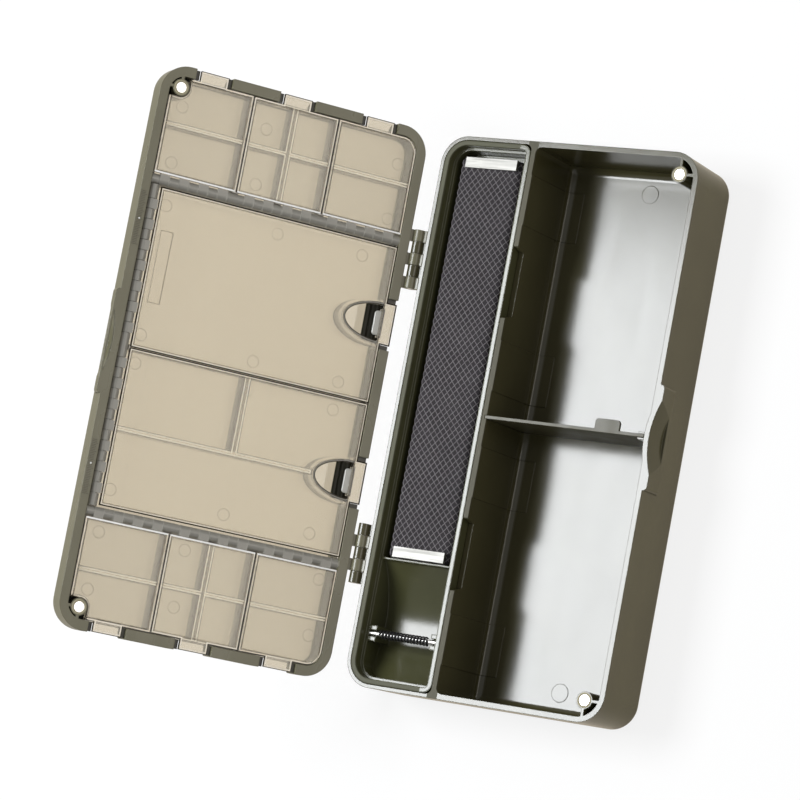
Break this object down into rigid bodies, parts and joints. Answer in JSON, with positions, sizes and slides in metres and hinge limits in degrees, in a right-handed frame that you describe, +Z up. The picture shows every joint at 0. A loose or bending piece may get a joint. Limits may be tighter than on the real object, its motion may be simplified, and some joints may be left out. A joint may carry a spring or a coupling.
{
  "type": "carp rig box",
  "caption": "Hinged tackle box for rigs: a base with divider, lift-out foam and spring tray, and a see-through lid of covered cells, shut by magnets.",
  "frame": {"origin": "centre of the base's flat underside, where the box stands", "axes": "+Z up, +Y along the length, +X towards the front with the finger scoop; the hinges and the open lid are on the -X side"},
  "size_m": [0.3003, 0.34, 0.1983],
  "materials": {
    "case_plastic": "moulded olive plastic, glossy, with fine scuffs",
    "clear_smoke": "see-through moulded plastic with a light smoke-beige tint",
    "magnet_nickel": "nickel-plated magnet discs",
    "pin_steel": "plain bright steel wire pins",
    "rig_foam": "dark closed-cell foam under a light net",
    "foam_bar_aluminium": "brushed aluminium",
    "spring_black": "black coated spring wire, glossy"
  },
  "bodies": {
    "base": {"base_shell": "case_plastic", "base_magnets": "magnet_nickel", "hinge_pins": "pin_steel"},
    "insert_tray": {"insert_tray": "case_plastic", "foam_pad": "rig_foam", "foam_bars": "foam_bar_aluminium", "spring_pin": "pin_steel", "coil_spring": "spring_black"},
    "divider": {"divider": "case_plastic"},
    "lid": {"lid_frame": "case_plastic", "lid_magnets": "magnet_nickel", "cell_tray_a": "clear_smoke", "cell_tray_b": "clear_smoke", "cell_tray_centre": "clear_smoke", "rail_a": "clear_smoke", "rail_b": "clear_smoke", "rail_front": "clear_smoke", "rail_rods": "pin_steel"},
    "row_a_cover_back": {"row_a_cover_back": "clear_smoke"},
    "row_a_cover_middle": {"row_a_cover_middle": "clear_smoke"},
    "row_a_cover_front": {"row_a_cover_front": "clear_smoke"},
    "row_b_cover_back": {"row_b_cover_back": "clear_smoke"},
    "row_b_cover_middle": {"row_b_cover_middle": "clear_smoke"},
    "row_b_cover_front": {"row_b_cover_front": "clear_smoke"},
    "big_cover_1": {"big_cover_1": "clear_smoke"},
    "big_cover_2": {"big_cover_2": "clear_smoke"}
  },
  "joints": [
    {"name": "lid_swing", "type": "hinge", "parent": "base", "child": "lid", "pos_m": [-0.09296, 0, 0.05], "axis": [0, -1, 0], "range_deg": [-125.9, 0]},
    {"name": "row_a_cover_back_flip", "type": "hinge", "parent": "lid", "child": "row_a_cover_back", "pos_m": [-0.11828, 0.1001, 0.07909], "axis": [0.5864, 0, -0.81], "range_deg": [0, 90]},
    {"name": "row_a_cover_middle_flip", "type": "hinge", "parent": "lid", "child": "row_a_cover_middle", "pos_m": [-0.15047, 0.1001, 0.12356], "axis": [0.5864, 0, -0.81], "range_deg": [0, 90]},
    {"name": "row_a_cover_front_flip", "type": "hinge", "parent": "lid", "child": "row_a_cover_front", "pos_m": [-0.18257, 0.1001, 0.16791], "axis": [0.5864, 0, -0.81], "range_deg": [0, 90]},
    {"name": "row_b_cover_back_flip", "type": "hinge", "parent": "lid", "child": "row_b_cover_back", "pos_m": [-0.11828, -0.1001, 0.07909], "axis": [-0.5864, 0, 0.81], "range_deg": [0, 90]},
    {"name": "row_b_cover_middle_flip", "type": "hinge", "parent": "lid", "child": "row_b_cover_middle", "pos_m": [-0.15047, -0.1001, 0.12356], "axis": [-0.5864, 0, 0.81], "range_deg": [0, 90]},
    {"name": "row_b_cover_front_flip", "type": "hinge", "parent": "lid", "child": "row_b_cover_front", "pos_m": [-0.18257, -0.1001, 0.16791], "axis": [-0.5864, 0, 0.81], "range_deg": [0, 90]},
    {"name": "big_cover_1_flip", "type": "hinge", "parent": "lid", "child": "big_cover_1", "pos_m": [-0.19623, 0.048, 0.18679], "axis": [0, -1, 0], "range_deg": [0, 90]},
    {"name": "big_cover_2_flip", "type": "hinge", "parent": "lid", "child": "big_cover_2", "pos_m": [-0.19623, -0.049, 0.18679], "axis": [0, -1, 0], "range_deg": [0, 90]},
    {"name": "insert_tray_lift", "type": "slide", "parent": "base", "child": "insert_tray", "axis": [0, 0, 1], "range_m": [0, 0.02]},
    {"name": "divider_lift", "type": "slide", "parent": "base", "child": "divider", "axis": [0, 0, 1], "range_m": [0, 0.06]}
  ]
}
